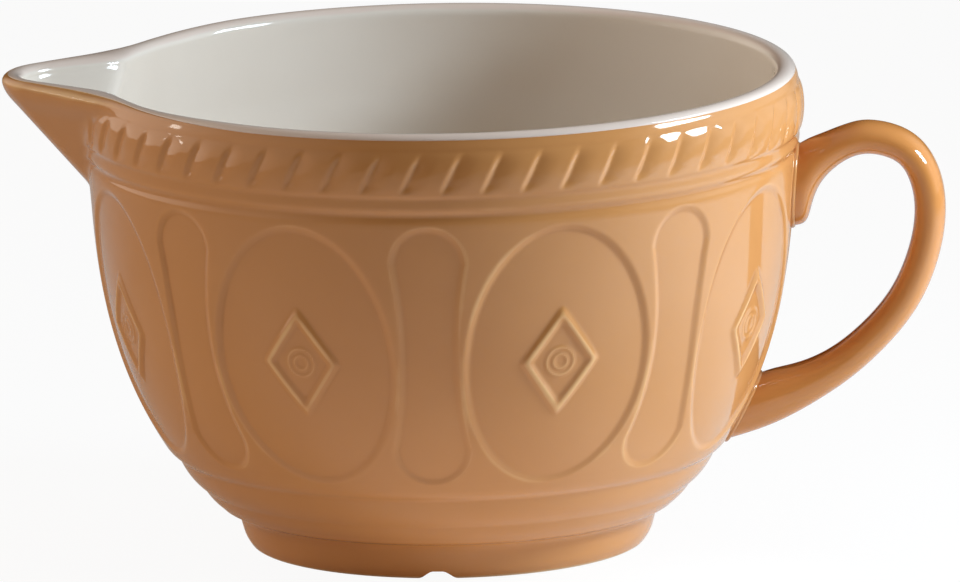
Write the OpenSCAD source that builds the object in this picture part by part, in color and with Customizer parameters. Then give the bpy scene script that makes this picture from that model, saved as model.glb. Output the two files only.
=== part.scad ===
// Batter bowl with a pouring spout, a strap handle and a moulded relief.
// Millimetres. Origin on the bowl's axis at the resting plane, +Z up, handle at +X, spout at -X.

/* [Bowl] */
// Height from the table to the top of the rim
bowl_h = 149; // [145:0.5:154]
// Largest radius, at the middle of the rope band
rope_r = 112.6; // [110.6:0.2:115]
// Thickness of the wall
wall_t = 6; // [5.4:0.1:6.8]
// Width of the rounded lip
lip_w = 5.4; // [4.8:0.1:5.8]
// How far the lip's outer line is inside the rope band
lip_in = 2.7; // [2.2:0.1:3.2]
// How far the wall's top is inside the rope band
shoulder_in = 2; // [1.8:0.1:2.4]
// Inward lean of the wall just under the band, per mm
wall_lean = 0.06; // [0.04:0.005:0.08]
// Height of the inside floor above the table
floor_z = 12; // [11:0.5:14]
// Radius of the flat part of the inside floor
floor_r = 45; // [40:1:50]

/* [Foot and steps] */
// Radius at the top of the foot
foot_top_r = 65.2; // [64.4:0.2:66]
// Height of the foot
foot_h = 9.6; // [9.2:0.2:10.2]
// How far the ring that stands on the table is inside the foot's top
foot_in = 5.2; // [4.4:0.2:7]
// Width of the ring that stands on the table
foot_w = 5; // [4:0.5:7]
// Rounding of the foot's lower edge
foot_edge = 2.6; // [2:0.1:3.2]
// Depth of the hollow under the base
base_hollow = 4; // [3.5:0.5:5]
// How far the third step's edge is outside the foot's top
step3_out = 6; // [5.2:0.2:6.8]
// Height of the third step's edge above the foot
step3_h = 4.2; // [3.8:0.1:4.6]
// How far the second step's edge is outside the third's
step2_out = 6.5; // [5.8:0.1:7.2]
// Height of the second step's edge above the third's
step2_h = 6.6; // [6.2:0.1:7.2]
// How far the first step's edge is outside the second's
step1_out = 8.5; // [7.6:0.1:9.6]
// Height of the first step's edge above the second's
step1_h = 10; // [9.4:0.1:10.6]
// Width of the ledges under the first and second steps
ledge_w = 1.3; // [1:0.1:1.7]
// Width of the drain notch across the foot
notch_w = 10.4; // [8:0.2:12]
// Height of the drain notch
notch_h = 2.6; // [2:0.2:3]

/* [Bands] */
// Height of the rope band's lower edge, below the rim's top
rope_drop = 18.8; // [18:0.1:19.6]
// Height of the plain band under the rope
plain_h = 4.4; // [3.8:0.1:5]
// How far the plain band is inside the rope band
plain_in = 1.7; // [1.4:0.1:1.9]
// Height of the groove under the plain band
groove_h = 4.4; // [3.8:0.1:5]
// Depth of that groove, from the plain band
groove_d = 0.9; // [0.6:0.1:1.2]
// Number of grooves in the rope band
rope_n = 56; // [48:8:64]
// Slant of the rope's grooves from upright
rope_slant = 26; // [22:1:30]
// Depth of the rope's grooves
rope_d = 1.25; // [0.95:0.05:1.4]
// Turn of the rope's first groove from the handle
rope_phase = 4; // [0:0.5:6]

/* [Panels] */
// Depth of the sunk panels
panel_d = 0.7; // [0.4:0.05:1]
// Width of the ovals
oval_w = 58.6; // [55:0.2:60]
// Height of the ovals
oval_h = 82.4; // [78:0.2:83]
// Height of the ovals' middle above the table
oval_z = 77.1; // [76.6:0.1:77.8]
// Width of the slim panels at both ends
slim_w = 22.2; // [20:0.2:23]
// Width of the slim panels at the waist
slim_waist = 16.4; // [14.4:0.2:18]
// Height of the slim panels
slim_h = 83; // [79:0.2:83.4]
// Height of the slim panels' middle above the table
slim_z = 77.9; // [77.4:0.1:78.4]
// Width of the lozenge in each oval
lozenge_w = 23.6; // [21:0.2:26]
// Height of the lozenge
lozenge_h = 32.4; // [29:0.2:36]
// Width of the lozenge's raised frame
frame_w = 2.2; // [1.6:0.1:2.6]
// Radius of the ring inside the lozenge
ring_r = 4.6; // [4.2:0.1:5]
// Width of that ring
ring_w = 1.2; // [0.8:0.1:1.6]
// Radius of the boss inside the ring
boss_r = 1.9; // [1.4:0.1:2.2]

/* [Spout] */
// How far the spout's tip stands out from the rope band
spout_out = 23.8; // [20.8:0.2:25.8]
// Half angle of the spout's cone
spout_angle = 48.5; // [47:0.25:49.5]
// Radius of the spout's rounded tip
tip_r = 22; // [20.5:0.5:23.5]
// Height of the cone's axis above the rim's top
spout_lift = 2.8; // [1.6:0.2:4]
// Thickness of the spout's wall
spout_t = 4.8; // [4.4:0.1:5.2]
// Drop of the spout's edge below the rim's top
spout_drop = 0.8; // [0.7:0.1:1.4]

/* [Handle] */
// How far the handle stands out from the rope band
handle_out = 43.4; // [40:0.2:48]
// Thickness of the handle's strap
handle_t = 10; // [9:0.2:11]
// Width of the handle's strap
handle_w = 18; // [15:0.5:20]
// Extra width where the strap spreads on the wall
handle_spread = 4; // [2:0.5:5]
// Thickness of the joining slip between the handle and the wall
slip_t = 0.6; // [0.4:0.1:1]

/* [Glaze] */
// Thickness of the pale glaze inside
glaze_t = 0.6; // [0.5:0.05:0.8]

/* [Hidden] */
$fn = 96;
cane = [0.80, 0.58, 0.34];
ivory = [0.90, 0.88, 0.82];
slip_tone = [0.74, 0.52, 0.30];

// Reach of cutting solids
past = 1;
far = 200;

// The relief repeats round the bowl: a slim panel at the handle and an oval between each two
bay_n = 8;
bay = 360 / bay_n;

// Small roundings of the moulding
foot_lean = -12;
cove_w = 1;
cove_h = 1.8;
step_soft = 0.95;
ledge_soft = 0.45;
swell2_in = 2;
swell2_up = 2.2;
swell1_in = 2.6;
swell1_up = 3.4;
wall_start = 1.8;
wall_stop = 0.6;
groove_floor = [0.45, 0.65];
band_soft = 0.4;
rope_belly = 4.8;
lip_start = 20;
knee_up = 7.6;

// Steps along the curved parts of the outline
step_n = 5;
wall_n = 9;
rope_steps = 6;
lip_n = 7;
inside_n = 6;

// Levels and radii that follow from the sizes above
rope_z = bowl_h - rope_drop;
plain_z = rope_z - plain_h;
field_z = plain_z - groove_h;
step3_z = foot_h + step3_h;
step2_z = step3_z + step2_h;
step1_z = step2_z + step1_h;
knee_z = step1_z + knee_up;
foot_r = foot_top_r - foot_in;
step3_r = foot_top_r + step3_out;
step2_r = step3_r + step2_out;
belly_r = step2_r + step1_out;
plain_r = rope_r - plain_in;
shoulder_r = rope_r - shoulder_in;
lip_r = lip_w / 2;
lip_out = rope_r - lip_in;
lip_mid = [lip_out - lip_r * cos(lip_start), bowl_h - lip_r];
lip_z = lip_mid[1] + lip_r * sin(lip_start);
rope_mid = rope_z + rope_belly;
rope_sag = (rope_r - lip_out) / pow(lip_z - rope_mid, 2);
field_span = field_z - step1_z;
wall_curve = (shoulder_r - belly_r - wall_lean * field_span) / pow(field_span, 3);

// Wall outside the panels, radius at height z
function wall_r(z) =
    let (t = max(field_z - z, 0))
    shoulder_r - wall_lean * t - wall_curve * pow(t, 3);

// Rope band before its grooves, radius at height z
function rope_r_at(z) = rope_r - rope_sag * pow(z - rope_mid, 2);

function bezier(a, b, c, n) =
    [for (i = [1 : n]) let (t = i / n) (1 - t) * (1 - t) * a + 2 * t * (1 - t) * b + t * t * c];

function arc(c, r, a0, a1, n) =
    [for (i = [0 : n]) let (a = a0 + (a1 - a0) * i / n) c + r * [cos(a), sin(a)]];

function reversed(v) = [for (i = [len(v) - 1 : -1 : 0]) v[i]];

// Outer outline from the foot to the lip's outer line
step2_in = step2_r - ledge_w;
ledge1_r = belly_r - step_soft;
ledge1_in = ledge1_r - ledge_w;
foot_line = concat(
    arc([foot_r, foot_edge], foot_edge, -90, foot_lean, 4),
    [
        [foot_top_r, foot_h],
        [foot_top_r + cove_w, foot_h + cove_h],
        [step3_r - step_soft, step3_z - step_soft],
        [step3_r, step3_z]
    ]
);
step2_line = bezier(
    [step3_r, step3_z],
    [step2_in - swell2_in, step3_z + swell2_up],
    [step2_in, step2_z - step_soft],
    step_n
);
step1_line = bezier(
    [step2_r, step2_z],
    [ledge1_in - swell1_in, step2_z + swell1_up],
    [ledge1_in, step1_z - step_soft],
    step_n
);
step_line = concat(
    step2_line,
    [[step2_r - ledge_soft, step2_z - ledge_soft], [step2_r, step2_z]],
    step1_line,
    [[ledge1_r, step1_z - ledge_soft], [belly_r, step1_z + ledge_soft]]
);
wall_lo = step1_z + wall_start;
wall_hi = field_z - wall_stop;
wall_line = [
    for (i = [0 : wall_n])
        let (z = wall_lo + (wall_hi - wall_lo) * i / wall_n)
        [wall_r(z), z]
];
band_line = [
    [plain_r - groove_d, field_z + groove_h * groove_floor[0]],
    [plain_r - groove_d, field_z + groove_h * groove_floor[1]],
    [plain_r, plain_z],
    [plain_r, rope_z - band_soft],
    [rope_r_at(rope_z) - band_soft, rope_z]
];
rope_lo = rope_z + band_soft;
rope_line = [
    for (i = [0 : rope_steps])
        let (z = rope_lo + (lip_z - rope_lo) * i / rope_steps)
        [rope_r_at(z), z]
];
outer_line = concat(foot_line, step_line, wall_line, band_line, rope_line);

// Lip and inside, from the lip's outer line to the floor's middle, sunk by g into the clay
function lip_line(g) = arc(lip_mid, lip_r - g, lip_start, 180, lip_n);

knee_r = wall_r(knee_z) - wall_t;
turn_r = step2_r - wall_t;
function inside_line(g) = concat(
    [
        for (i = [0 : inside_n])
            let (z = field_z + (knee_z - field_z) * i / inside_n)
            [wall_r(z) - wall_t + g, z]
    ],
    bezier([knee_r + g, knee_z], [turn_r + g, floor_z - g], [floor_r, floor_z - g], inside_n),
    [[0, floor_z - g]]
);

module turned(points) {
    rotate_extrude()
        polygon(points);
}

// Full solid inside the outer outline, grown by g, for cutting what is joined to the wall
module envelope(g) {
    turned(concat(
        [[0, 0]],
        [for (p = outer_line) p + [g, 0]],
        [for (p = arc(lip_mid, lip_r - glaze_t, lip_start, 90, lip_n)) p + [g, 0]],
        [[0, bowl_h - glaze_t]]
    ));
}

// Clay wall as one turned ring, from the hollow under the base round to the inside floor
module turned_wall() {
    ring_in = foot_r - foot_w;
    turned(concat(
        [[0, base_hollow], [ring_in - base_hollow / 2, base_hollow], [ring_in, 0]],
        outer_line,
        lip_line(glaze_t),
        inside_line(glaze_t)
    ));
}

// Space inside the bowl
module cavity() {
    mouth_r = lip_mid[0] - lip_r;
    top = bowl_h + past;
    turned(concat([[0, top], [mouth_r, top], [mouth_r, lip_mid[1]]], inside_line(0)));
}

// Spout as a horizontal cone with a round nose, kept to where its side comes nearest to the axis
tip_x = rope_r + spout_out;
spout_top = bowl_h - spout_drop;
spout_axis = bowl_h + spout_lift;
nose_x = tip_x - sqrt(pow(tip_r, 2) - pow(spout_axis - spout_top, 2));
apex_x = nose_x + tip_r / sin(spout_angle);
spout_from = apex_x * pow(sin(spout_angle), 2);
nose_n = 5;

// Cone thinned by g all round
module spout_cone(g) {
    r = tip_r - g;
    x_end = spout_from - wall_t;
    tall = r * cos(spout_angle) + (nose_x + r * sin(spout_angle) - x_end) * tan(spout_angle);
    nose = arc([0, nose_x], r, spout_angle, 90, nose_n);
    translate([0, 0, spout_axis])
        rotate([0, -90, 0])
            rotate_extrude()
                polygon(concat([[0, x_end], [tall, x_end]], nose));
}

module spout_form(g) {
    intersection() {
        spout_cone(g);
        translate([-far, -far, 0])
            cube([far - spout_from, 2 * far, far]);
    }
}

module below(z) {
    translate([-far, -far, z - far])
        cube([2 * far, 2 * far, far]);
}

// Handle's strap as sections along its run: middle x, middle z, lean of the section, thickness
// against handle_t, and share of the spread
strap_sunk = 6;
lead_top = 1.8;
lead_low = 2.6;
strap_run = handle_out - handle_t / 2;
function strap_x(u) = rope_r + u * strap_run;
function strap_z(v) = v * bowl_h;
function on_wall(v, out) = wall_r(strap_z(v)) + out;
stations = [
    [on_wall(0.742, -strap_sunk), strap_z(0.742), 90, 2.42, 1],
    [on_wall(0.748, lead_top), strap_z(0.748), 95, 2.55, 1],
    [strap_x(0.036), strap_z(0.774), 92, 2.14, 0.8],
    [strap_x(0.148), strap_z(0.809), 85, 1.63, 0.4],
    [strap_x(0.529), strap_z(0.852), 89, 1.1, 0],
    [strap_x(0.826), strap_z(0.826), 62, 1.1, 0],
    [strap_x(0.982), strap_z(0.748), 11.5, 1, 0],
    [strap_x(0.99), strap_z(0.656), -9, 1, 0],
    [strap_x(0.885), strap_z(0.559), -19.5, 1.02, 0],
    [strap_x(0.688), strap_z(0.472), -33.5, 1.05, 0],
    [strap_x(0.318), strap_z(0.379), -48, 1.13, 0.1],
    [strap_x(-0.06), strap_z(0.321), -70, 1.36, 0.4],
    [on_wall(0.285, lead_low), strap_z(0.285), -107, 2.01, 0.9],
    [on_wall(0.27, -strap_sunk), strap_z(0.27), -110, 2.12, 1]
];
spans = len(stations) - 1;
ring_steps = 3;
ring_sides = 20;
strap_square = 0.8;

function spline(a, b, c, d, t) =
    b + 0.5 * t * (c - a + t * (2 * a - 5 * b + 4 * c - d + t * (3 * (b - c) + d - a)));

function station(i) = stations[min(max(i, 0), spans)];

function ring_at(i, t) = spline(station(i - 1), station(i), station(i + 1), station(i + 2), t);

// Rounded strap section, flatter on its broad faces than an ellipse
function squared(v) = sign(v) * pow(abs(v), strap_square);

function ring_points(s) = [
    for (k = [0 : ring_sides - 1])
        let (
            a = 360 * k / ring_sides,
            thick = squared(cos(a)) * handle_t * s[3] / 2,
            wide = squared(sin(a)) * (handle_w + handle_spread * s[4]) / 2
        )
        [s[0] + thick * cos(s[2]), wide, s[1] + thick * sin(s[2])]
];

module strap() {
    rings = concat(
        [for (i = [0 : spans - 1], j = [0 : ring_steps - 1]) ring_points(ring_at(i, j / ring_steps))],
        [ring_points(station(spans))]
    );
    n = len(rings);
    m = ring_sides;
    polyhedron(
        points = [for (r = rings) each r],
        faces = concat(
            [for (i = [0 : n - 2], k = [0 : m - 1])
                [i * m + k, i * m + (k + 1) % m, (i + 1) * m + (k + 1) % m]],
            [for (i = [0 : n - 2], k = [0 : m - 1])
                [i * m + k, (i + 1) * m + (k + 1) % m, (i + 1) * m + k]],
            [[for (k = [m - 1 : -1 : 0]) k]],
            [[for (k = [0 : m - 1]) (n - 1) * m + k]]
        ),
        convexity = 6
    );
}

// Outlines of the sunk panels
oval_steps = 36;
module oval_outline() {
    polygon([
        for (k = [0 : oval_steps - 1])
            let (a = 360 * k / oval_steps)
            [oval_w / 2 * cos(a), oval_h / 2 * sin(a)]
    ]);
}

module lozenge(inset) {
    k = inset / sin(atan2(lozenge_w, lozenge_h));
    h = lozenge_h / 2 - k;
    w = h * lozenge_w / lozenge_h;
    polygon([[w, 0], [0, h], [-w, 0], [0, -h]]);
}

module oval_sunk() {
    difference() {
        oval_outline();
        difference() {
            lozenge(0);
            lozenge(frame_w);
        }
        difference() {
            circle(ring_r);
            circle(ring_r - ring_w);
        }
        circle(boss_r);
    }
}

slim_steps = 8;
slim_half = (slim_h - slim_w) / 2;
waist_steps = 4;
waist = [
    for (i = [1 - waist_steps : waist_steps - 1])
        let (k = i / waist_steps)
        [(slim_waist + (slim_w - slim_waist) * pow(k, 2)) / 2, slim_half * k]
];
module slim_outline() {
    top = arc([0, slim_half], slim_w / 2, 0, 180, slim_steps);
    bottom = arc([0, -slim_half], slim_w / 2, 180, 360, slim_steps);
    left = reversed([for (p = waist) [-p[0], p[1]]]);
    polygon(concat(top, left, bottom, waist));
}

module outward(angle, z) {
    rotate([0, 0, angle])
        translate([foot_r, 0, z])
            rotate([90, 0, 90])
                linear_extrude(far)
                    children();
}

module panel_floor() {
    turned(concat(
        [[0, step1_z], [belly_r - panel_d, step1_z]],
        [for (p = wall_line) p - [panel_d, 0]],
        [[shoulder_r - panel_d, field_z], [0, field_z]]
    ));
}

module panels() {
    difference() {
        union() {
            for (i = [0 : bay_n - 1]) {
                outward(bay * (i + 0.5), oval_z)
                    oval_sunk();
                outward(bay * i, slim_z)
                    slim_outline();
            }
        }
        panel_floor();
        strap();
        spout_form(0);
    }
}

// Slanted grooves of the rope band, left out where the spout covers the band
rope_half = 2.4;
rope_len = 24;
spout_turn = 180;
spout_cover = 26;
module rope_grooves() {
    for (i = [0 : rope_n - 1]) {
        turn = rope_phase + i * 360 / rope_n;
        if (abs(turn - spout_turn) > spout_cover)
            rotate([0, 0, turn])
                translate([rope_r - rope_d, 0, rope_mid])
                    rotate([-rope_slant, 0, 0])
                        linear_extrude(rope_len, center = true)
                            polygon([[0, 0], [2 * rope_d, 2 * rope_half], [2 * rope_d, -2 * rope_half]]);
    }
}

// Drain notch across the foot ring, at the front
module drain_notch() {
    r = (pow(notch_w / 2, 2) + pow(notch_h, 2)) / (2 * notch_h);
    translate([0, -foot_r / 2, notch_h - r])
        rotate([90, 0, 0])
            cylinder(r = r, h = foot_r);
}

module bowl_body() {
    color(cane)
        difference() {
            turned_wall();
            spout_form(spout_t - glaze_t);
            panels();
            rope_grooves();
            drain_notch();
        }
}

// Pale coat over the lip and the inside, as a turned shell
module turned_glaze() {
    outside = concat(lip_line(0), inside_line(0));
    inside = concat(lip_line(glaze_t), inside_line(glaze_t));
    turned(concat(outside, reversed(inside)));
}

// The same coat in the spout's channel and on the spout's edge
module spout_glaze() {
    difference() {
        union() {
            intersection() {
                spout_form(spout_t - glaze_t);
                below(spout_top);
            }
            difference() {
                intersection() {
                    spout_form(0);
                    below(spout_top);
                }
                below(spout_top - glaze_t);
                envelope(0);
            }
        }
        cavity();
    }
}

module inside_glaze() {
    color(ivory)
        difference() {
            union() {
                turned_glaze();
                spout_glaze();
            }
            spout_form(spout_t);
        }
}

module spout() {
    color(cane)
        difference() {
            intersection() {
                spout_form(0);
                below(spout_top - glaze_t);
            }
            spout_form(spout_t - glaze_t);
            envelope(0);
        }
}

module handle() {
    color(cane)
        difference() {
            strap();
            envelope(slip_t);
        }
}

module slip_at(z0, z1) {
    color(slip_tone)
        difference() {
            intersection() {
                strap();
                envelope(slip_t);
                translate([0, -far, z0])
                    cube([far, 2 * far, z1 - z0]);
            }
            envelope(0);
        }
}

slip_split = bowl_h / 2;
module upper_slip() {
    slip_at(slip_split, bowl_h);
}

module lower_slip() {
    slip_at(0, slip_split);
}

bowl_body();
inside_glaze();
spout();
handle();
upper_slip();
lower_slip();
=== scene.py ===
"""Looks of the batter bowl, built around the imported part.

The bowl's shapes are in millimetres and become metres as meshes. Floor, lights and camera are in metres.
"""

import math

import bpy
import numpy as np
from mathutils import Matrix, Vector


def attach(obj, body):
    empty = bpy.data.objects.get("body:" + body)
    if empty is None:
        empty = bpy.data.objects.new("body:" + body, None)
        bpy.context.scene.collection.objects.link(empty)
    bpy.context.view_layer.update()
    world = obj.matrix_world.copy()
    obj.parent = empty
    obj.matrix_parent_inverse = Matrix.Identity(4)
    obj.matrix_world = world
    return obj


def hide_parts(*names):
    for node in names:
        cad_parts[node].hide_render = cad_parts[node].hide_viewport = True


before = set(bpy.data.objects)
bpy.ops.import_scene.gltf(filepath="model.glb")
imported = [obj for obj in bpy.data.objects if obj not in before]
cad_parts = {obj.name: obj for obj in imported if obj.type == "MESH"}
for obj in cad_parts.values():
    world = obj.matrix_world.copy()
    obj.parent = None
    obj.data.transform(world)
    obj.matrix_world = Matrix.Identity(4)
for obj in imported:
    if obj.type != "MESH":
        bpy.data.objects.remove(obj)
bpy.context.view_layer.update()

MM = 0.001
TAU = 2 * math.pi
TINY = 1e-9

# Fineness of the bowl's grid: columns round the axis, and gaps between the points of each outline
COLUMNS = 1120
COAT_SKIP = 4
BASE_GAP = 6.0
RING_GAP = 0.7
FOOT_GAP = 0.5
WALL_GAP = 0.6
BAND_GAP = 0.45
FLOOR_GAP = 5.0
INSIDE_GAP = 1.6

# Sizes of the bowl, which follow the part's source, some of them a little changed to suit the photo
TOP = 148.98
FLOOR_Z = 12.0
FLOOR_R = 45.0
BASE_Z = 4.0
FOOT_R = 60.3
FIELD_Z = 121.4
STEP1_Z = 30.4
BELLY_R = 86.2
SHOULDER_R = 110.1
WALL_START_Z = 36.0
WALL_STOP_Z = 119.6
WALL_LEAN = 0.06
WALL_CURVE = (SHOULDER_R - BELLY_R - WALL_LEAN * (FIELD_Z - STEP1_Z)) / (FIELD_Z - STEP1_Z) ** 3
WALL_T = 6.0
GLAZE_T = 0.5
KNEE_Z = 38.0
KNEE_R = 71.7
BAY = 45.0


def step(x, a, b):
    """Smooth rise from 0 at a to 1 at b."""
    t = np.clip((x - a) / (b - a), 0, 1)
    return t * t * (3 - 2 * t)


def between(x, rise, fall):
    """Smooth rise from 0 to 1 over the span rise, and back to 0 over the span fall."""
    return step(x, *rise) * (1 - step(x, *fall))


def smooth_max(a, b, k):
    """The larger of two values, rounded where they differ by less than k."""
    h = np.clip(1 - np.abs(a - b) / k, 0, None)
    return np.maximum(a, b) + h * h * k / 4


def squared(v, power):
    """A sine or cosine raised to a power with its sign kept, which makes a round section squarer."""
    return np.sign(v) * np.abs(v) ** power


def wall_r(z):
    """Radius of the plain wall at a height."""
    t = np.clip(FIELD_Z - z, 0, None)
    return SHOULDER_R - WALL_LEAN * t - WALL_CURVE * t**3


# Outlines as lists of points
def bezier(a, b, c, n):
    t = np.linspace(0, 1, n + 1)[:, None]
    return (1 - t) ** 2 * np.array(a) + 2 * t * (1 - t) * np.array(b) + t * t * np.array(c)


def rounded(points, n=6):
    """Points [r, z, cut]: each corner is rounded off over the length cut on both sides."""
    most = 0.49
    p = np.array(points, float)
    out = [p[:1, :2]]
    for i in range(1, len(p) - 1):
        c, cut = p[i, :2], p[i, 2]
        before, after = p[i - 1, :2] - c, p[i + 1, :2] - c
        a = c + before * min(cut / np.linalg.norm(before), most)
        b = c + after * min(cut / np.linalg.norm(after), most)
        out.append(bezier(a, c, b, n) if cut else c[None])
    out.append(p[-1:, :2])
    return np.concatenate(out)


def resample(line, gap):
    """The same line with points about a gap apart."""
    d = np.r_[0, np.cumsum(np.hypot(*np.diff(line, axis=0).T))]
    t = np.linspace(0, d[-1], max(2, int(round(d[-1] / gap)) + 1))
    return np.stack([np.interp(t, d, line[:, 0]), np.interp(t, d, line[:, 1])], 1)


def with_cut(line, cut):
    return [[r, z, cut] for r, z in line]


def on_wall(z, cut):
    return [float(wall_r(z)), z, cut]


# Outside outline, from the middle of the base to the lip
base_line = rounded([[0, BASE_Z, 0], [52.6, BASE_Z, 1.4], [54.8, 0, 0.8], [FOOT_R, 0, 0]])
foot_line = rounded(
    [[FOOT_R, 0, 0], [61.2, 0.2, 0.8], [63.2, 3.2, 2.2], [65.4, 11.2, 3.0], [70.4, 12.8, 1.3]]
    + with_cut(bezier([71.6, 14.0], [74.5, 16.2], [76.2, 19.2], 4), 0.9)
    + with_cut(bezier([77.9, 20.6], [81.6, 23.8], [83.8, 29.2], 5), 0.9)
    + [[BELLY_R, 30.9, 1.2], on_wall(32.6, 0.8), on_wall(WALL_START_Z, 0)]
)
wall_z = np.linspace(WALL_START_Z, WALL_STOP_Z, 60)
wall_line = np.stack([wall_r(wall_z), wall_z], 1)
band_line = rounded(
    [on_wall(WALL_STOP_Z, 0), [110.0, 121.5, 1.0], [109.4, 123.7, 1.1], [110.8, 125.5, 1.0]]
    + [[110.85, 129.2, 0.9], [111.6, 130.2, 0.6], [112.15, 132.4, 1.5], [112.5, 136, 2.0]]
    + [[112.15, 140.3, 1.6], [111.5, 142.4, 1.0], [110.75, 143.9, 0.5], [110.68, 144.6, 0.4]]
    + [[110.5, 145.6, 0.8], [109.9, 147.2, 0]]
)
ring_start = len(base_line) // 4
outer = np.concatenate(
    [
        resample(base_line[: ring_start + 1], BASE_GAP),
        resample(base_line[ring_start:], RING_GAP)[1:],
        resample(foot_line, FOOT_GAP)[1:],
        resample(wall_line, WALL_GAP)[1:],
        resample(band_line, BAND_GAP)[1:],
    ]
)

# Spout as a prow with flat flanks and a round keel
SPOUT_TURN = math.radians(1.2)
SPOUT_LOW = 90.0
FLANK_A = math.radians(45.5)
FLANK_END = math.radians(42)
KEEL_FOOT_R = 110.2
KEEL_FOOT_Z = 114.25
KEEL_SLOPE = 0.872
KEEL_BEND = 0.065
KEEL_BEND_Z = 141
KEEL_R = 14.0
TIP_R = 21.5
NOSE_WIDENS = 137, 148
# Past this angle the spout's skin falls away behind the wall
FADE_START = math.radians(33)
FADE = 400
# Its top edge is rounded, and its seam with the wall is softer towards the rim
EDGE_Z = 145.8
EDGE_ROUND = 0.12
SEAM = 2.4
SEAM_MORE = 0.4
SEAM_RISE = 142, 147
# The channel is set in by the spout's thickness, and each millimetre of that takes these amounts off
SPOUT_T = 4.8
KEEL_INSET = 1.35
NOSE_INSET = 0.75
FLANK_INSET = math.radians(2.7)
CHANNEL_SEAM = 4.0


def spout_angle(theta):
    """Angle from the spout's middle."""
    return np.abs((theta - SPOUT_TURN) % TAU - math.pi)


def spout_reach(phi, z, inset):
    """Distance from the axis to the spout's skin, at the angle phi from its middle."""
    bend = np.clip(z - KEEL_BEND_Z, 0, None)
    keel = KEEL_FOOT_R + KEEL_SLOPE * (z - KEEL_FOOT_Z) - KEEL_BEND * bend**2 - KEEL_INSET * inset
    nose_r = KEEL_R + (TIP_R - KEEL_R) * step(z, *NOSE_WIDENS) - NOSE_INSET * inset
    middle = keel - nose_r
    side = FLANK_A - FLANK_INSET * inset
    sharp = middle + nose_r / math.sin(side)
    phi = np.minimum(phi, FLANK_END)
    flank = sharp * math.sin(side) / np.sin(side + phi)
    nose = middle * np.cos(phi) + np.sqrt(np.clip(nose_r**2 - (middle * np.sin(phi)) ** 2, 0, None))
    on_nose = flank * np.cos(phi) > middle + nose_r * math.sin(side)
    far = np.clip(phi - FADE_START, 0, None)
    return np.where(on_nose, nose, flank) - FADE * far**2


# Relief of the wall
def soft_in(d, width):
    """1 inside an outline, 0 outside, over the given width."""
    return step(-d, -width / 2, width / 2)


def ridge(d, width):
    """1 on a line, falling to 0 over the given width on both sides."""
    return step(1 - np.abs(d) / width, 0, 1)


def across_bay(theta, r, shift):
    """Distance across from the middle of the nearest form, which repeats in each bay."""
    near = (np.degrees(theta) + shift) % BAY - BAY / 2
    return r * np.sin(np.radians(near))


# Sunk ovals
OVAL_Z = 77.1
OVAL_HALF_W = 29.3
OVAL_HALF_H = 41.2
OVAL_DEPTH = 1.05
OVAL_EDGE = 2.8


def oval_relief(x, z):
    y = z - OVAL_Z
    a, b = OVAL_HALF_W, OVAL_HALF_H
    k = np.sqrt((x / a) ** 2 + (y / b) ** 2) + TINY
    grad = np.sqrt((x / a**2) ** 2 + (y / b**2) ** 2) / k + TINY
    return -OVAL_DEPTH * soft_in((k - 1) / grad, OVAL_EDGE)


# Lozenge as a rounded ridge with two fine rings in its middle
LOZENGE_Z = 75.5
LOZENGE_HALF_W = 11.2
LOZENGE_HALF_H = 15.6
LOZENGE_SOFT = 0.8
LOZENGE_RISE = 0.95
LOZENGE_RIDGE = 2.3
RING_RADII = 4.4, 2.3
RING_RISE = 0.35
RING_RIDGE = 1.05


def lozenge_relief(x, z):
    y = z - LOZENGE_Z
    a, b = LOZENGE_HALF_W, LOZENGE_HALF_H
    d = (np.hypot(x, LOZENGE_SOFT) / a + np.hypot(y, LOZENGE_SOFT) / b - 1) * a * b / math.hypot(a, b)
    rise = LOZENGE_RISE * ridge(d, LOZENGE_RIDGE)
    for radius in RING_RADII:
        rise = rise + RING_RISE * ridge(np.hypot(x, y) - radius, RING_RIDGE)
    return rise


# Slim sunk panels with a waist and round ends
SLIM_Z = 77.9
SLIM_HALF_H = 41.5
SLIM_END_R = 11.1
SLIM_WAIST = 8.2
SLIM_DEPTH = 0.95
SLIM_EDGE = 2.6


def slim_relief(x, z):
    x, y = np.abs(x), np.abs(z - SLIM_Z)
    half = SLIM_HALF_H - SLIM_END_R
    width = SLIM_WAIST + (SLIM_END_R - SLIM_WAIST) * np.clip(y / half, 0, 1) ** 2
    d = np.where(y < half, x - width, np.hypot(x, y - half) - SLIM_END_R)
    return -SLIM_DEPTH * soft_in(d, SLIM_EDGE)


def panel_relief(theta, z):
    r = wall_r(z)
    oval_x = across_bay(theta, r, BAY)
    slim_x = across_bay(theta, r, BAY / 2)
    return oval_relief(oval_x, z) + lozenge_relief(oval_x, z) + slim_relief(slim_x, z)


# Rope band
ROPE_N = 56
ROPE_R = 112.6
ROPE_Z = 135.0
ROPE_PHASE = math.radians(4)
ROPE_SLANT = math.radians(27)
ROPE_STEEP = 2.4
ROPE_GENTLE = 7.0
ROPE_DEPTH = 0.95
ROPE_STARTS = 129.8, 133.8
ROPE_STOPS = 139.5, 144.6


def rope_relief(theta, z):
    """Slanted lobes that rise gently from one groove and drop steeply into the next."""
    pitch = TAU / ROPE_N * ROPE_R
    lean = (z - ROPE_Z) * math.tan(ROPE_SLANT)
    s = ((theta - ROPE_PHASE) * ROPE_R - lean + ROPE_STEEP) % pitch - ROPE_STEEP
    steep = step(1 + s / ROPE_STEEP, 0, 1)
    gentle = np.clip(1 - s / ROPE_GENTLE, 0, 1) ** 2
    return -ROPE_DEPTH * np.where(s < 0, steep, gentle) * between(z, ROPE_STARTS, ROPE_STOPS)


# Heights over which the panels' field and the rope's band set in and end
FIELD_STARTS = 33, 35
FIELD_STOPS = WALL_STOP_Z, 121
BAND_STARTS = 129, 130


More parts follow.
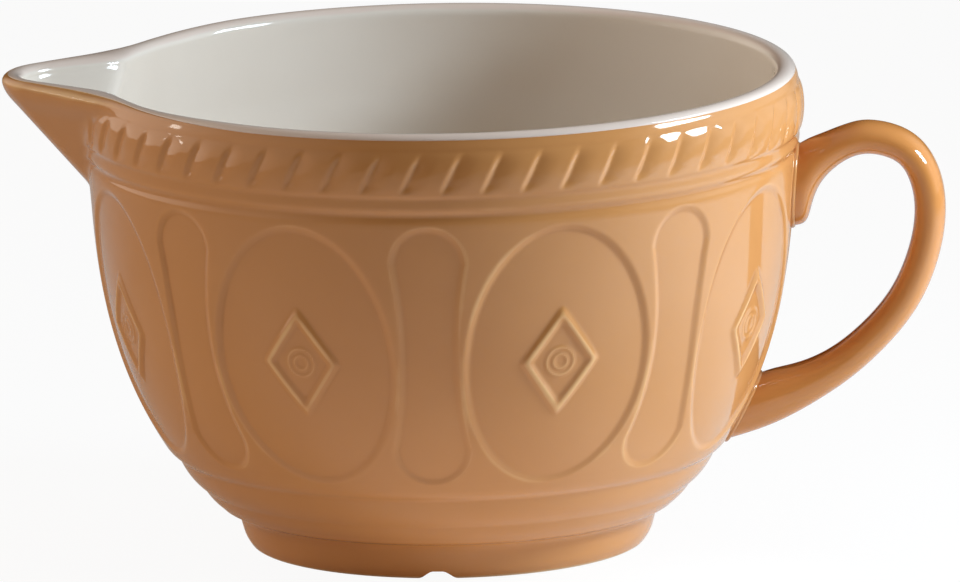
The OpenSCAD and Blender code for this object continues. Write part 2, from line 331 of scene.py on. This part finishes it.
def outer_radius(theta, line):
    """Radius of the outside at the outline's points, for each angle."""
    r0, z = line[:, 0][:, None], line[:, 1][:, None]
    field = between(z, FIELD_STARTS, FIELD_STOPS)
    band = step(z, *BAND_STARTS)
    r = r0 + panel_relief(theta, z) * field + rope_relief(theta, z) * band
    edge = np.clip(z - EDGE_Z, 0, None)
    reach = spout_reach(spout_angle(theta), z, 0.0) - EDGE_ROUND * edge**2
    seam = SEAM + SEAM_MORE * step(z, *SEAM_RISE)
    return np.where(z > SPOUT_LOW, smooth_max(r, reach, seam), r)


# Lip, whose section is a squarish half round, and the rim's dip beside the spout
LIP_R = 3.35
LIP_IN_R = 103.4
LIP_START = math.radians(27.5)
LIP_FLAT = 0.93
LIP_Z = TOP - LIP_R
CLAY_LIP_ROWS = 5
COAT_LIP_ROWS = 17
RIM_DIP = 0.6
DIP_RISE = math.radians(8), math.radians(30)
DIP_FALL = math.radians(30), math.radians(55)
OUTSIDE_SINKS = 140, 147.2
INSIDE_SINKS = 137, LIP_Z

# Inside outline, from the floor's middle to the lip
knee = bezier([FLOOR_R, FLOOR_Z], [KNEE_R, FLOOR_Z], [float(wall_r(KNEE_Z)) - WALL_T, KNEE_Z], 24)
in_z = np.linspace(KNEE_Z, FIELD_Z, 40)
in_wall = np.stack([wall_r(in_z) - WALL_T, in_z], 1)
inside = np.concatenate([[[0, FLOOR_Z]], knee, in_wall[1:], [[LIP_IN_R, LIP_Z]]])
inside = np.concatenate([resample(inside[:2], FLOOR_GAP), resample(inside[1:], INSIDE_GAP)[1:]])


def inner_radius(theta, line):
    """Radius of the inside at the outline's points, for each angle."""
    r, z = line[:, 0][:, None], line[:, 1][:, None]
    reach = spout_reach(spout_angle(theta), z, SPOUT_T)
    return np.where(z > SPOUT_LOW, smooth_max(r, reach, CHANNEL_SEAM), r + 0 * theta)


# Grids of points, with rows up the bowl and columns round it, and their meshes
def grid(r, z, theta):
    return np.stack([r * np.cos(theta), r * np.sin(theta), z + 0 * r], -1)


def grid_normals(p):
    du = np.roll(p, -1, 1) - np.roll(p, 1, 1)
    dv = np.gradient(p, axis=0)
    n = np.cross(du, dv)
    length = np.linalg.norm(n, axis=-1, keepdims=True)
    return n / np.where(length < TINY, 1, length)


def mesh_object(name, points, faces):
    mesh = bpy.data.meshes.new(name)
    mesh.from_pydata((np.asarray(points) * MM).tolist(), [], faces)
    mesh.validate()
    mesh.shade_smooth()
    ob = bpy.data.objects.new(name, mesh)
    bpy.context.scene.collection.objects.link(ob)
    return ob


def turning_order(p):
    """A grid's values with the first and last rows, on the axis, as single ones."""
    return np.concatenate([p[0, :1], p[1:-1].reshape(-1, p.shape[2]), p[-1, :1]])


def closed_turning(name, p):
    """Mesh of a grid whose first and last rows are single points on the axis."""
    m, n = p.shape[:2]
    points = turning_order(p)
    rows = np.arange((m - 2) * n).reshape(m - 2, n) + 1
    nxt = np.roll(rows, -1, 1)
    quads = np.stack([rows[:-1], nxt[:-1], nxt[1:], rows[1:]], -1).reshape(-1, 4)
    last = len(points) - 1
    faces = quads.tolist()
    faces += [[0, int(b), int(a)] for a, b in zip(rows[0], nxt[0])]
    faces += [[last, int(a), int(b)] for a, b in zip(rows[-1], nxt[-1])]
    return mesh_object(name, points, faces)


theta = (np.arange(COLUMNS) * TAU / COLUMNS)[None, :]
phi = spout_angle(theta)
dip = RIM_DIP * between(phi, DIP_RISE, DIP_FALL)


def sunk(line, heights):
    """Heights of an outline's points, with the rim's dip beside the spout."""
    z = line[:, 1][:, None]
    return z - dip * step(z, *heights)


out_r = outer_radius(theta, outer)
out_p = grid(out_r, sunk(outer, OUTSIDE_SINKS), theta)
in_r = inner_radius(theta, inside)
in_p = grid(in_r, sunk(inside, INSIDE_SINKS), theta)

# Drain notch through the foot's ring, at the front
NOTCH_X = -0.5
NOTCH_H = 2.6
NOTCH_SLOPE = 1.4, 6.4
RING_IN_R = 50
arch = NOTCH_H * (1 - step(np.abs(out_p[..., 0] - NOTCH_X), *NOTCH_SLOPE))
ring = (out_p[..., 1] < 0) & (out_r > RING_IN_R) & (out_p[..., 2] < arch)
out_p[..., 2] = np.where(ring, arch, out_p[..., 2])

# Lip between the outside's last row and the inside's last row
lip_half = (out_r[-1] - in_r[-1]) / (1 + math.cos(LIP_START) ** LIP_FLAT)


def lip(first, last, n):
    """Rows over the lip, from one angle of its section to another."""
    a = first + (last - first) * np.linspace(0, 1, n)[:, None]
    r = in_r[-1] + lip_half + lip_half * squared(np.cos(a), LIP_FLAT)
    rise = np.abs(np.sin(a)) ** LIP_FLAT
    return grid(r, LIP_Z + LIP_R * rise - dip, theta)


# The ivory ends at this angle of the lip's section, and reaches less far over it beside the spout
COAT_END = math.radians(29)
COAT_END_SPOUT = math.radians(68)
COAT_END_TURNS = math.radians(22), math.radians(60)
coat_end = COAT_END_SPOUT + (COAT_END - COAT_END_SPOUT) * step(phi, *COAT_END_TURNS)
out_p = np.concatenate([out_p, lip(LIP_START, coat_end, CLAY_LIP_ROWS)[1:]])
coat_top = np.concatenate([in_p, lip(math.pi, coat_end, COAT_LIP_ROWS)[1:]])
coat_n = -grid_normals(coat_top)
coat_n[:2] = [0, 0, 1]
coat_under = coat_top - GLAZE_T * coat_n
coat_under[0] = [0, 0, FLOOR_Z - GLAZE_T]

body = closed_turning("bowl_body_clay", np.concatenate([out_p, coat_under[::-1]]))
# The smooth coat needs only some of the columns
coat_grid = np.concatenate([coat_under, coat_top[::-1]])
coat = closed_turning("inside_glaze_coat", coat_grid[:, ::COAT_SKIP])


def standing_out(r, passes):
    """How far each point stands out from the mean of the points around it."""
    mean = r
    for _ in range(passes):
        mean = (np.roll(mean, 1, 1) + 2 * mean + np.roll(mean, -1, 1)) / 4
        mean = np.concatenate([mean[:1], (mean[:-2] + 2 * mean[1:-1] + mean[2:]) / 4, mean[-1:]])
    return r - mean


def mark_thin_and_painted_light(ob, values):
    """Keeps a grid's values on the mesh made from it, for the glaze's colour."""
    marks = ob.data.attributes.new("thin_glaze_and_painted_light", "FLOAT", "POINT").data
    marks.foreach_set("value", turning_order(values[..., None]).ravel())


# The cane glaze is lighter on edges and darker in hollows, partly as glaze that runs thin and pools and
# partly as painted highlight and painted shade, less so in the rope. It is thin along its upper end
STANDING_OUT_PASSES = 6
ROPE_LESS = 0.8
ROPE_ZONE = (128, 131), (143, 145)
CANE_END_THIN = 0.24
in_rope = between(out_p[..., 2], *ROPE_ZONE)
thin_and_painted_light = np.zeros((len(out_p) + len(coat_under), COLUMNS))
outside_thin_and_painted_light = standing_out(np.hypot(out_p[..., 0], out_p[..., 1]), STANDING_OUT_PASSES) * (1 - ROPE_LESS * in_rope)
thin_and_painted_light[: len(out_p)] = outside_thin_and_painted_light
thin_and_painted_light[len(out_p) - 1] = CANE_END_THIN
mark_thin_and_painted_light(body, thin_and_painted_light)

# The ivory grows thin over the lip's first rows and stays so
LIP_THIN = 0.4
LIP_THIN_ROWS = 0, 5
on_lip = LIP_THIN * step(np.arange(len(coat_top)) - len(in_p), *LIP_THIN_ROWS)
coat_thin = np.concatenate([on_lip, on_lip[::-1]])[:, None] + np.zeros(COLUMNS)
mark_thin_and_painted_light(coat, coat_thin[:, ::COAT_SKIP])

# Handle
HANDLE_OUT = 43.55
STRAP_W = 18.0
STRAP_SPREAD = 4.0
STRAP_T = 9.7
STRAP_RUN = HANDLE_OUT - STRAP_T / 2
STRAP_SUNK = 3.5
STRAP_SQUARE = 0.85
STRAP_SMOOTH = 60
STRAP_PER_STATION = 16
STRAP_SIDES = 64


def strap_x(u):
    """Place along the run, from 0 at the rope's radius to 1 where the strap is farthest out."""
    return ROPE_R + u * STRAP_RUN


# Sections along the strap: middle x, middle z, lean in degrees, share of the thickness, share of the spread
stations = np.array(
    [
        [wall_r(110.6) - STRAP_SUNK, 110.6, 90, 2.42, 1],
        [wall_r(111.4) + 1.8, 111.4, 95, 2.55, 1],
        [strap_x(0.036), 115.3, 92, 2.14, 0.8],
        [strap_x(0.148), 120.4, 85, 1.5, 0.4],
        [strap_x(0.33), 124.8, 87, 1.1, 0.1],
        [strap_x(0.529), 126.5, 89, 1.02, 0],
        [strap_x(0.831), 122.7, 62, 1.02, 0],
        [strap_x(0.982), 111.4, 11.5, 1, 0],
        [strap_x(0.99), 97.8, -9, 1, 0],
        [strap_x(0.885), 83.3, -19.5, 1.02, 0],
        [strap_x(0.69), 70.1, -33.5, 1.03, 0],
        [strap_x(0.32), 56.1, -48, 1.09, 0.1],
        [strap_x(-0.06), 47.8, -70, 1.36, 0.4],
        [wall_r(42.4) + 2.6, 42.4, -107, 2.01, 0.9],
        [wall_r(40.6) - STRAP_SUNK, 40.6, -110, 2.14, 1],
    ]
)


def spline(points, per):
    """Smooth curve through all the points, with the same number of places after each."""
    p = np.concatenate([points[:1], points, points[-1:]])
    out = []
    for i in range(1, len(p) - 2):
        a, b, c, d = p[i - 1 : i + 3]
        bend = 2 * a - 5 * b + 4 * c - d
        twist = 3 * (b - c) + d - a
        for t in np.arange(per) / per:
            out.append(b + 0.5 * t * (c - a + t * (bend + t * twist)))
    return np.array(out + [p[-2]])


def strap_rings():
    s = spline(stations, STRAP_PER_STATION)
    for _ in range(STRAP_SMOOTH):
        s[1:-1] = (s[:-2] + 2 * s[1:-1] + s[2:]) / 4
    x, z, lean, share, spread = (s[:, i : i + 1] for i in range(5))
    a = np.arange(STRAP_SIDES) * TAU / STRAP_SIDES
    thick = squared(np.cos(a), STRAP_SQUARE)[None, :] * STRAP_T * share / 2
    wide = squared(np.sin(a), STRAP_SQUARE)[None, :] * (STRAP_W + STRAP_SPREAD * spread) / 2
    lean = np.radians(lean)
    return np.stack([x + thick * np.cos(lean), wide, z + thick * np.sin(lean)], -1)


def tube(name, rings, closed=False):
    """Mesh over a row of rings, with flat ends unless it closes on itself."""
    m, n = rings.shape[:2]
    idx = np.arange(m * n).reshape(m, n)
    low, high = (idx, np.roll(idx, -1, 0)) if closed else (idx[:-1], idx[1:])
    quads = np.stack([low, np.roll(low, -1, 1), np.roll(high, -1, 1), high], -1).reshape(-1, 4)
    faces = quads.tolist()
    if not closed:
        faces += [idx[0, ::-1].tolist(), idx[-1].tolist()]
    return mesh_object(name, rings.reshape(-1, 3), faces)


strap = strap_rings()
handle = tube("handle_strap", strap)

# Joining slip as a small bead where the strap meets the wall
BEAD_R = 0.9
BEAD_SIDES = 12


def meets_wall(line):
    """Where a line of points that starts inside the wall comes out of it."""
    gap = np.hypot(line[:, 0], line[:, 1]) - wall_r(line[:, 2])
    i = int(np.argmax(gap > 0))
    t = gap[i - 1] / (gap[i - 1] - gap[i])
    return line[i - 1] + t * (line[i] - line[i - 1])


def joint_bead(name, rings):
    """Follows each long line of the strap to the wall, and lays a bead round the strap there."""
    ring = np.array([meets_wall(rings[:, k]) for k in range(rings.shape[1])])
    along = np.roll(ring, -1, 0) - np.roll(ring, 1, 0)
    along /= np.linalg.norm(along, axis=1, keepdims=True)
    away = ring - ring.mean(0)
    away -= along * (away * along).sum(1, keepdims=True)
    away /= np.linalg.norm(away, axis=1, keepdims=True)
    side = np.cross(along, away)
    a = (np.arange(BEAD_SIDES) * TAU / BEAD_SIDES)[None, :, None]
    rounds = np.cos(a) * away[:, None] + np.sin(a) * side[:, None]
    return tube(name, ring[:, None] + BEAD_R * rounds, closed=True)


upper_bead = joint_bead("upper_slip_bead", strap)
lower_bead = joint_bead("lower_slip_bead", strap[::-1])


# Helpers for node trees
def node(tree, kind, **inputs):
    n = tree.nodes.new(kind)
    for key, value in inputs.items():
        n.inputs[key.replace("_", " ")].default_value = value
    return n


def math_node(tree, kind, operation, *values):
    """Math or vector math. Each value is a constant or another node's output."""
    n = tree.nodes.new(kind)
    n.operation = operation
    for socket, value in zip(n.inputs, values):
        if isinstance(value, bpy.types.NodeSocket):
            tree.links.new(value, socket)
        else:
            socket.default_value = value
    return n


def map_range(tree, value, kind="LINEAR", **inputs):
    n = node(tree, "ShaderNodeMapRange", **inputs)
    n.interpolation_type = kind
    tree.links.new(value, n.inputs["Value"])
    return n.outputs["Result"]


def noise(tree, place, **inputs):
    n = node(tree, "ShaderNodeTexNoise", **inputs)
    tree.links.new(place, n.inputs["Vector"])
    return n.outputs["Fac"]


def srgb(r, g, b):
    """Colour for a socket, from levels of 0 to 255."""

    def linear(v):
        v /= 255
        return v / 12.92 if v <= 0.04045 else ((v + 0.055) / 1.055) ** 2.4

    return linear(r), linear(g), linear(b), 1.0


# Glazes
THIN_AND_PAINTED_LIGHT_SHOWS = 1.4
MIDDLE_TONES = 0.3, 0.7
GLOSS_LEAST = 0.8
GLOSS_MOST = 1.25
BARE_BELOW = 0.4 * MM
GLAZED_ABOVE = 0.9 * MM


def glaze_colour(tree, place, tones):
    """Tones from where the glaze pools to where it runs thinnest, which on the cane also carry painted shade
    and painted highlight, a little cloudy.
    """
    clouds = noise(tree, place, Scale=14.0, Detail=4.0, Roughness=0.55)
    thin_glaze_and_painted_light = tree.nodes.new("ShaderNodeAttribute")
    thin_glaze_and_painted_light.attribute_name = "thin_glaze_and_painted_light"
    thinness_and_painted_light = thin_glaze_and_painted_light.outputs["Fac"]
    level = math_node(tree, "ShaderNodeMath", "MULTIPLY_ADD", thinness_and_painted_light, THIN_AND_PAINTED_LIGHT_SHOWS, clouds)
    ramp = tree.nodes.new("ShaderNodeValToRGB")
    for stop in MIDDLE_TONES:
        ramp.color_ramp.elements.new(stop)
    for element, tone in zip(ramp.color_ramp.elements, tones):
        element.color = srgb(*tone)
    tree.links.new(level.outputs["Value"], ramp.inputs["Fac"])
    return ramp.outputs["Color"]


def bare_ring(tree, place, clay, colour, roughness):
    """Dull clay in place of the glaze where the foot stands."""
    apart = tree.nodes.new("ShaderNodeSeparateXYZ")
    tree.links.new(place, apart.inputs["Vector"])
    span = {"From_Min": BARE_BELOW, "From_Max": GLAZED_ABOVE, "To_Min": 1.0, "To_Max": 0.0}
    low = map_range(tree, apart.outputs["Z"], **span)
    mix = tree.nodes.new("ShaderNodeMix")
    mix.data_type = "RGBA"
    mix.inputs["B"].default_value = srgb(*clay)
    tree.links.new(low, mix.inputs["Factor"])
    tree.links.new(colour, mix.inputs["A"])
    dull = math_node(tree, "ShaderNodeMath", "MAXIMUM", roughness, low)
    return mix.outputs["Result"], dull.outputs["Value"]


def glaze(name, tones, rough, bare=None):
    """Glossy glaze over clay, uneven in tone, gloss and level. The foot's ring can be bare."""
    mat = bpy.data.materials.new(name)
    mat.use_nodes = True
    tree = mat.node_tree
    tree.nodes.clear()
    out = tree.nodes.new("ShaderNodeOutputMaterial")
    skin = node(tree, "ShaderNodeBsdfPrincipled", IOR=1.5)
    place = tree.nodes.new("ShaderNodeTexCoord").outputs["Object"]
    colour = glaze_colour(tree, place, tones)
    gloss = noise(tree, place, Scale=60.0, Detail=2.0)
    roughness = map_range(tree, gloss, To_Min=rough * GLOSS_LEAST, To_Max=rough * GLOSS_MOST)
    if bare:
        colour, roughness = bare_ring(tree, place, bare, colour, roughness)
    waves = noise(tree, place, Scale=45.0, Detail=1.0)
    bump = node(tree, "ShaderNodeBump", Strength=0.05, Distance=0.001)
    tree.links.new(waves, bump.inputs["Height"])
    tree.links.new(colour, skin.inputs["Base Color"])
    tree.links.new(roughness, skin.inputs["Roughness"])
    tree.links.new(bump.outputs["Normal"], skin.inputs["Normal"])
    tree.links.new(skin.outputs["BSDF"], out.inputs["Surface"])
    return mat


CANE = (176, 112, 58), (203, 142, 85), (209, 148, 90), (236, 188, 128)
IVORY = (224, 211, 195), (228, 216, 202), (232, 221, 208), (230, 211, 198)
# The handle has the same cane glaze as the bowl, made darker and more saturated there as painted shade
HANDLE_SHADED = (170, 104, 48), (203, 134, 72), (209, 140, 77), (236, 184, 120)
SLIP = (176, 112, 58), (199, 138, 82), (206, 145, 88), (236, 188, 128)
BARE_CLAY = 226, 196, 156
cane = glaze("cane_glaze", CANE, 0.06, bare=BARE_CLAY)
handle_shaded_cane = glaze("handle_cane_glaze_painted_shade", HANDLE_SHADED, 0.06)
ivory = glaze("ivory_glaze", IVORY, 0.07)
slip = glaze("joining_slip", SLIP, 0.07)

for piece, mat, record_slot, nodes in (
    (body, cane, "cane_glaze", ("bowl_body", "spout")),
    (coat, ivory, "ivory_glaze", ("inside_glaze",)),
    (handle, handle_shaded_cane, "cane_glaze", ("handle",)),
    (upper_bead, slip, "joining_slip", ("upper_slip",)),
    (lower_bead, slip, "joining_slip", ("lower_slip",)),
):
    piece.data.materials.append(mat)
    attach(piece, "root")
    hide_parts(*nodes)

# Floor, just under the foot
FLOOR_HALF = 3.0
FLOOR_UNDER = -0.0002
FLOOR_GREY = 0.8
FLOOR_WHITE = 0.93
corners = [(x * FLOOR_HALF, y * FLOOR_HALF, FLOOR_UNDER) for x, y in ((-1, -1), (1, -1), (1, 1), (-1, 1))]
floor_mesh = bpy.data.meshes.new("floor")
floor_mesh.from_pydata(corners, [], [(0, 1, 2, 3)])
floor = bpy.data.objects.new("floor", floor_mesh)
bpy.context.scene.collection.objects.link(floor)

# Studio light: the room's soft patches as direction, cosine where they fade out, tint and strength
ROOM = (
    ((1, 0, 0.1), 0.85, (0.97, 1, 1), 0.65),
    ((1, 0.6, 0.3), 0.7, (0.98, 1, 1), 0.71),
    ((-1, 0, 0.3), 0.3, (1, 0.84, 0.71), 0.88),
    ((-1, 0.5, 0.3), 0.7, (1, 0.96, 0.88), 0.75),
    ((0, 0, 1), 0.5, (1, 0.94, 0.85), 0.18),
)
# Pools of painted light that the floor gives off itself, as middle, radius, tint and strength
POOLS = (
    ((0.3, -0.05, 0), 0.3, (0.84, 1, 1.1), 0.47),
    ((-0.3, -0.05, 0), 0.3, (1, 0.6, 0.3), 0.24),
    ((0, -0.3, 0), 0.3, (1, 0.4, 0.2), 0.17),
    ((0.25, -0.25, 0), 0.25, (1, 1, 1), 0.14),
    ((0.085, -0.075, 0), 0.07, (0.94, 1, 1), 0.4),
    ((0.02, -0.12, 0), 0.09, (1, 0.8, 0.55), 0.34),
)
# Softboxes as place, width and height, power and tint, all turned to the bowl
SOFTBOX_AIM = Vector((0, 0, 0.12))
SOFTBOXES = {
    "key": ((0.62, -0.07, 0.39), (0.25, 0.17), 4.75, (0.84, 1.0, 1.14)),
    "glint": ((-0.66, -0.02, 0.30), (0.05, 0.05), 0.06, (1, 0.95, 0.85)),
}


def room_patch(tree, sky, direction, low, tint, top):
    """Light that rises smoothly to its strength as the sky turns to a direction."""
    unit = math_node(tree, "ShaderNodeVectorMath", "NORMALIZE", sky).outputs["Vector"]
    middle = Vector(direction).normalized()
    turned = math_node(tree, "ShaderNodeVectorMath", "DOT_PRODUCT", unit, middle).outputs["Value"]
    light = node(tree, "ShaderNodeBackground", Color=(*tint, 1))
    rise = map_range(tree, turned, "SMOOTHSTEP", From_Min=low, From_Max=1.0, To_Max=top)
    tree.links.new(rise, light.inputs["Strength"])
    return light.outputs["Background"]


def floor_pool(tree, spot, middle, radius, tint, top):
    """Glow that falls smoothly from its strength in the middle to 0 at its radius."""
    away = math_node(tree, "ShaderNodeVectorMath", "DISTANCE", spot, middle).outputs["Value"]
    light = node(tree, "ShaderNodeEmission", Color=(*tint, 1))
    fall = map_range(tree, away, "SMOOTHSTEP", From_Max=radius, To_Min=top, To_Max=0.0)
    tree.links.new(fall, light.inputs["Strength"])
    return light.outputs["Emission"]


def add_shaders(tree, shaders):
    total = shaders[0]
    for shader in shaders[1:]:
        both = tree.nodes.new("ShaderNodeAddShader")
        tree.links.new(total, both.inputs[0])
        tree.links.new(shader, both.inputs[1])
        total = both.outputs["Shader"]
    return total


def seen_as(tree, share, behind, camera_shader, surface):
    """Gives the camera a share of its own shader, and everything else the one behind."""
    seen = tree.nodes.new("ShaderNodeLightPath").outputs["Is Camera Ray"]
    part = math_node(tree, "ShaderNodeMath", "MULTIPLY", seen, share)
    mix = tree.nodes.new("ShaderNodeMixShader")
    tree.links.new(part.outputs["Value"], mix.inputs["Fac"])
    tree.links.new(behind, mix.inputs[1])
    tree.links.new(camera_shader, mix.inputs[2])
    tree.links.new(mix.outputs["Shader"], surface)


def softbox(name, at, size, power, tint):
    light = bpy.data.lights.new(name, "AREA")
    light.shape = "RECTANGLE"
    light.size, light.size_y = size
    light.energy = power
    light.color = tint
    ob = bpy.data.objects.new(name, light)
    ob.location = at
    ob.rotation_mode = "QUATERNION"
    ob.rotation_quaternion = (SOFTBOX_AIM - Vector(at)).to_track_quat("-Z", "Y")
    bpy.context.scene.collection.objects.link(ob)


# White paper floor that glows in pools of painted light
paper = bpy.data.materials.new("floor_paper")
paper.use_nodes = True
tree = paper.node_tree
tree.nodes.clear()
out = tree.nodes.new("ShaderNodeOutputMaterial")
matte = node(tree, "ShaderNodeBsdfDiffuse", Color=(FLOOR_GREY, FLOOR_GREY, FLOOR_GREY, 1))
spot = tree.nodes.new("ShaderNodeNewGeometry").outputs["Position"]
lights = [matte.outputs["BSDF"]]
for pool in POOLS:
    lights.append(floor_pool(tree, spot, *pool))
white = node(tree, "ShaderNodeEmission", Color=(1, 1, 1, 1), Strength=1.0)
seen_as(tree, FLOOR_WHITE, add_shaders(tree, lights), white.outputs["Emission"], out.inputs["Surface"])
floor_mesh.materials.append(paper)

for name, settings in SOFTBOXES.items():
    softbox(name, *settings)

# Room, which the camera sees as plain white
world = bpy.data.worlds.new("studio")
bpy.context.scene.world = world
world.use_nodes = True
tree = world.node_tree
tree.nodes.clear()
out = tree.nodes.new("ShaderNodeOutputWorld")
sky = tree.nodes.new("ShaderNodeTexCoord").outputs["Generated"]
lights = [room_patch(tree, sky, *patch) for patch in ROOM]
white = node(tree, "ShaderNodeBackground", Color=(1, 1, 1, 1), Strength=1.0)
seen_as(tree, 1.0, add_shaders(tree, lights), white.outputs["Background"], out.inputs["Surface"])

# Camera, far off with a long lens, a little above and rolled to the photo's tilt
AWAY = 8.0
RISE = math.radians(11.4)
TURN = math.radians(2.7)
ROLL = math.radians(-0.92)
TARGET = Vector((0, 0, 0.075))
AIM_RIGHT = 0.01095
AIM_UP = 0.003085
PICTURE_W = 960
PIXELS_PER_MM = 3.22
SENSOR_W = 36
back = Vector((math.cos(RISE) * math.sin(TURN), -math.cos(RISE) * math.cos(TURN), math.sin(RISE)))
right = Vector((math.cos(TURN), math.sin(TURN), 0))
up = back.cross(right)
aim = TARGET + right * AIM_RIGHT + up * AIM_UP
cam_right = right * math.cos(ROLL) + up * math.sin(ROLL)
cam_up = up * math.cos(ROLL) - right * math.sin(ROLL)
lens = bpy.data.cameras.new("camera")
lens.sensor_width = SENSOR_W
lens.lens = PIXELS_PER_MM * AWAY / MM / PICTURE_W * SENSOR_W
lens.clip_end = 100
camera = bpy.data.objects.new("camera", lens)
camera.matrix_world = Matrix((cam_right, cam_up, back)).transposed().to_4x4()
camera.location = aim + back * AWAY
bpy.context.scene.collection.objects.link(camera)
bpy.context.scene.camera = camera
bpy.context.scene.view_settings.view_transform = "Standard"
